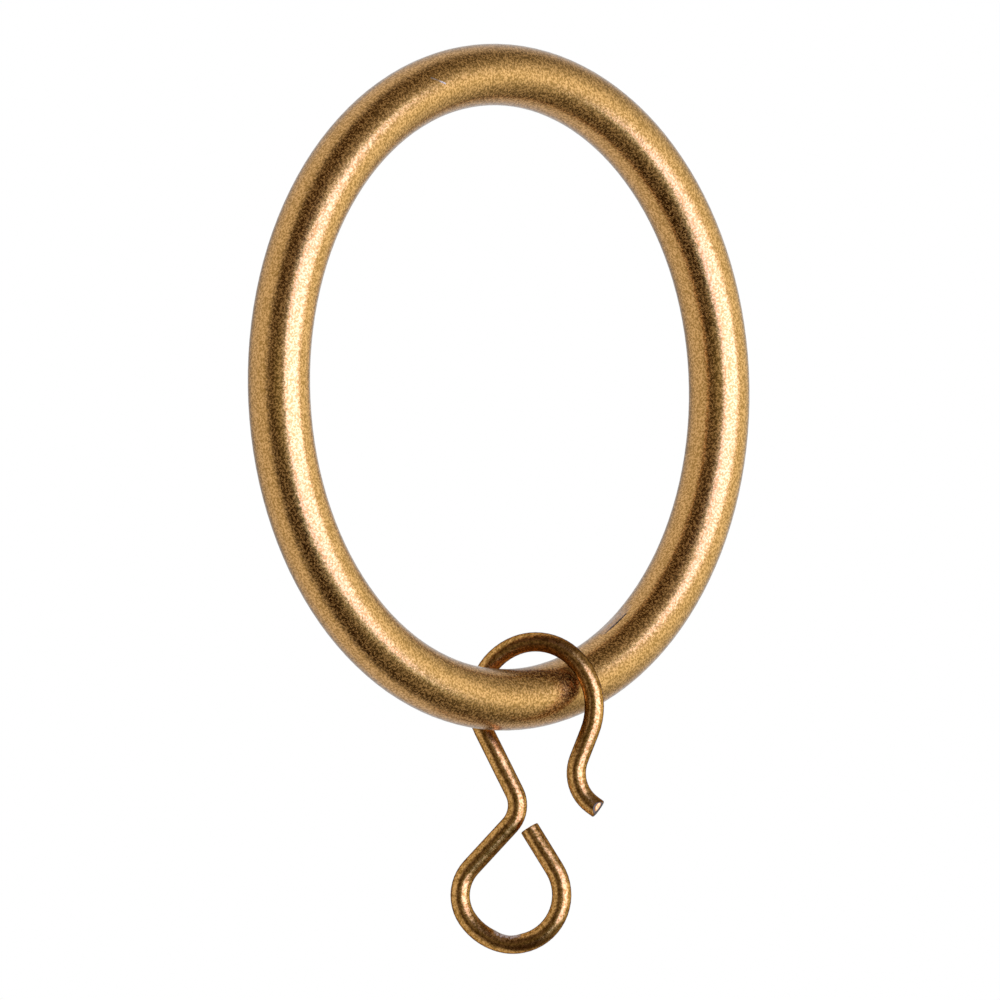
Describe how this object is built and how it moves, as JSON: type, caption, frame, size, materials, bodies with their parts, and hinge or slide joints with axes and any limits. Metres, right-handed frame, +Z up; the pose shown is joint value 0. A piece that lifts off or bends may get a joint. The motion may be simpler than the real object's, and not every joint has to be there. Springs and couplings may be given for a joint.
{
  "type": "curtain ring with wire hook",
  "caption": "Round metal curtain ring for a pole, with a bent wire hook over its bar that ends in an open eye.",
  "frame": {"origin": "centre of the ring, where the pole's axis would pass if the ring were centred on it", "axes": "+Z up, the ring upright in the XZ plane; +Y along the pole, the hook's leg on the +Y side"},
  "size_m": [0.0462, 0.0087, 0.0613],
  "materials": {
    "ring_paint": "satin metallic gold paint with a fine sparkle",
    "wire_paint": "smooth metallic gold lacquer, glossier than the ring"
  },
  "bodies": {
    "ring": {"ring": "ring_paint"},
    "hook": {"wire_hook": "wire_paint"}
  },
  "joints": [
    {"name": "hook_swing", "type": "hinge", "parent": "ring", "child": "hook", "pos_m": [0.00322, 0, -0.02083], "axis": [0.9882, 0, 0.153], "range_deg": [-120, 120]}
  ]
}
